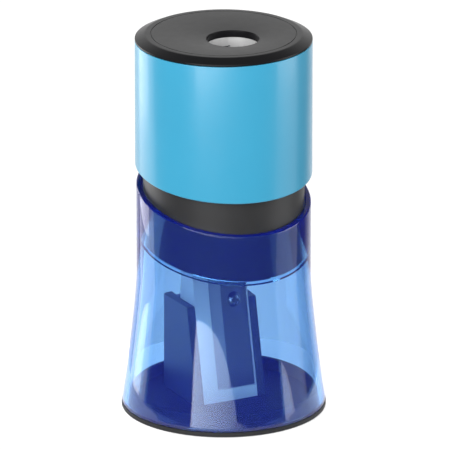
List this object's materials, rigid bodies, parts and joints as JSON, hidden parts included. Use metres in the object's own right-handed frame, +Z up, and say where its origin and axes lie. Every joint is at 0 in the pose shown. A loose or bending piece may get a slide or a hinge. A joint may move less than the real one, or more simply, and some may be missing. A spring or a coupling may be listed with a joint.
{
  "type": "canister pencil sharpener",
  "caption": "Hand sharpener: clear flared shavings container with a slanted rim on a black base, lift-off blue head with an off-centre pencil hole.",
  "frame": {"origin": "centre of the underside, on the table", "axes": "+Z up through the container's axis, -Y the front, where the rim is lowest"},
  "size_m": [0.0498, 0.0498, 0.0951],
  "materials": {
    "black_plastic": "fine matte",
    "holder_plastic": "satin",
    "blue_plastic": "gloss",
    "clear_blue": "clear tinted",
    "grey_plastic": "satin",
    "blade_steel": "ground",
    "screw_steel": "plated",
    "foot_rubber": "matte"
  },
  "bodies": {
    "base": {"base_cup": "black_plastic", "foot_pad": "foot_rubber", "block_holder": "holder_plastic", "holder_screws": "screw_steel", "slim_block": "grey_plastic", "slim_blade": "blade_steel", "slim_blade_screw": "screw_steel"},
    "container": {"container_shell": "clear_blue"},
    "head": {"plug_collar": "black_plastic", "sleeve": "blue_plastic", "top_cap": "black_plastic", "wide_block": "grey_plastic", "wide_blade": "blade_steel", "wide_blade_screw": "screw_steel", "head_screws": "screw_steel"}
  },
  "joints": [
    {"name": "container_lift", "type": "slide", "parent": "base", "child": "container", "axis": [0, 0, 1], "range_m": [0, 0.04]},
    {"name": "head_lift", "type": "slide", "parent": "container", "child": "head", "axis": [0, 0, 1], "range_m": [0, 0.03]}
  ]
}
